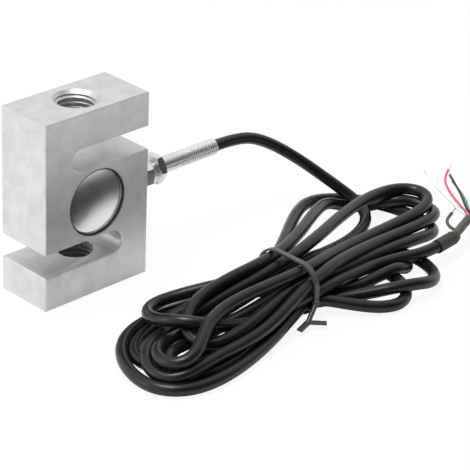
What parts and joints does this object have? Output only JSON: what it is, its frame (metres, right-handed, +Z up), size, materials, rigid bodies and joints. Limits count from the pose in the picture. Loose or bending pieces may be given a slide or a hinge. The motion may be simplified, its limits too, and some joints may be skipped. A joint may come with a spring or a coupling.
{
  "type": "s type load cell",
  "caption": "S-shaped force sensor block with threaded load holes top and bottom, a sealed gauge bore, a side cable gland and a tied hank of lead-out cable.",
  "frame": {"origin": "middle of the block's bottom face, on the load axis", "axes": "+Z up along the load axis through both threaded holes, +X out of the face that carries the cable gland, -Y out of the front cover"},
  "size_m": [0.2006, 0.1137, 0.0762],
  "materials": {
    "plated_steel": "fine bead-blasted nickel plate on alloy steel",
    "cover_steel": "satin stainless sheet",
    "black_sealant": "cured black sealant",
    "gauge_film": "amber polyimide film",
    "circuit_board": "green solder mask",
    "bond_compound": "milky bonding compound",
    "tinned_metal": "tinned copper",
    "core_insulation": "pvc insulation",
    "cable_jacket": "semi-gloss black pvc",
    "gland_metal": "bright nickel-plated brass",
    "gland_rubber": "black rubber",
    "tie_plastic": "black plastic tie",
    "shrink_tube": "matt black heat-shrink",
    "tip_tube": "thin grey-brown heat-shrink",
    "wire_red": "pvc insulation",
    "wire_black": "pvc insulation",
    "wire_green": "pvc insulation",
    "wire_white": "pvc insulation"
  },
  "bodies": {
    "root": {"s_beam_body": "plated_steel", "front_cover_disc": "cover_steel", "rear_cover_disc": "cover_steel", "front_sealant_bead": "black_sealant", "rear_sealant_bead": "black_sealant", "strain_gauge_upper_left": "gauge_film", "strain_gauge_upper_right": "gauge_film", "strain_gauge_lower_left": "gauge_film", "strain_gauge_lower_right": "gauge_film", "gauge_leads": "tinned_metal", "bridge_board": "circuit_board", "board_bond": "bond_compound", "board_posts": "tinned_metal", "inner_cores": "core_insulation", "cable_root": "cable_jacket", "gland_seal": "gland_rubber", "gland_body": "gland_metal", "cable_grommet": "gland_rubber", "lock_nut": "gland_metal", "threaded_sleeve": "gland_metal", "cable_lead": "cable_jacket", "cable_hank": "cable_jacket", "twist_tie": "tie_plastic", "cable_tail": "cable_jacket", "heat_shrink_sleeve": "shrink_tube", "tip_sleeve": "tip_tube", "tip_cores": "core_insulation", "wire_red": "wire_red", "wire_black": "wire_black", "wire_green": "wire_green", "wire_white": "wire_white", "bare_end_red": "tinned_metal", "bare_end_black": "tinned_metal", "bare_end_green": "tinned_metal", "bare_end_white": "tinned_metal", "shield_pigtail": "tip_tube", "shield_strand": "tinned_metal"}
  },
  "joints": []
}
